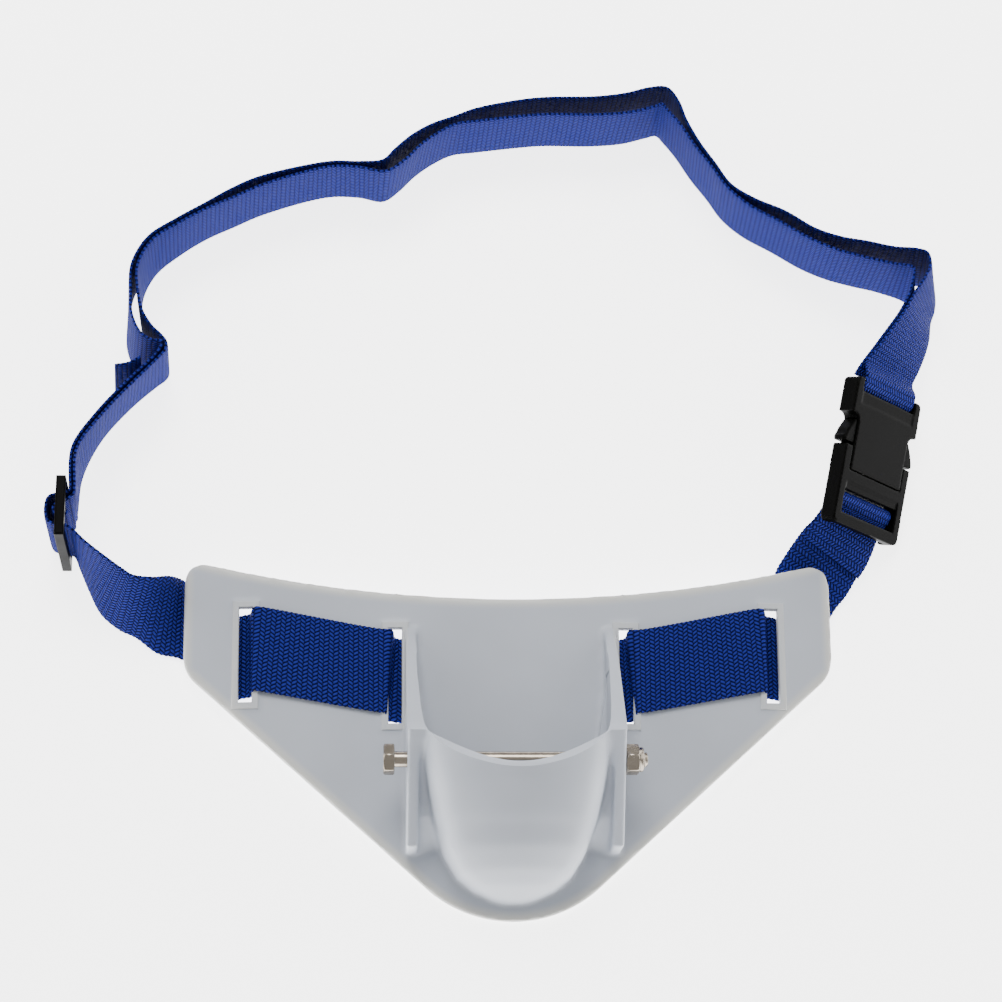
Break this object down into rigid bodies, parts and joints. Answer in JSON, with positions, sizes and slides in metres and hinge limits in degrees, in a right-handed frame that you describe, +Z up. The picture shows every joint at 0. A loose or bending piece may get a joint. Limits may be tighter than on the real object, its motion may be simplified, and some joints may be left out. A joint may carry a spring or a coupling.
{
  "type": "fishing fighting belt",
  "caption": "Waist belt with a moulded plate and an open rod cup with a cross bolt, worn on a flat webbing strap with a slider and a side-release buckle.",
  "frame": {"origin": "on the table under the middle of the bounding box", "axes": "+Z up from the table, -Y towards the plate's closed nose, +X to the wearer's left along the plate"},
  "size_m": [0.3848, 0.3716, 0.0651],
  "materials": {
    "moulding": "satin pale grey",
    "bolt_metal": "nickel plated",
    "buckle_plastic": "satin black",
    "webbing": "woven blue"
  },
  "bodies": {
    "root": {"plate_moulding": "moulding", "cross_bolt": "bolt_metal", "lock_nut": "bolt_metal", "buckle_socket": "buckle_plastic", "buckle_plug": "buckle_plastic", "slider": "buckle_plastic", "plate_webbing": "webbing", "inner_webbing": "webbing", "outer_webbing": "webbing", "tail_webbing": "webbing"}
  },
  "joints": []
}
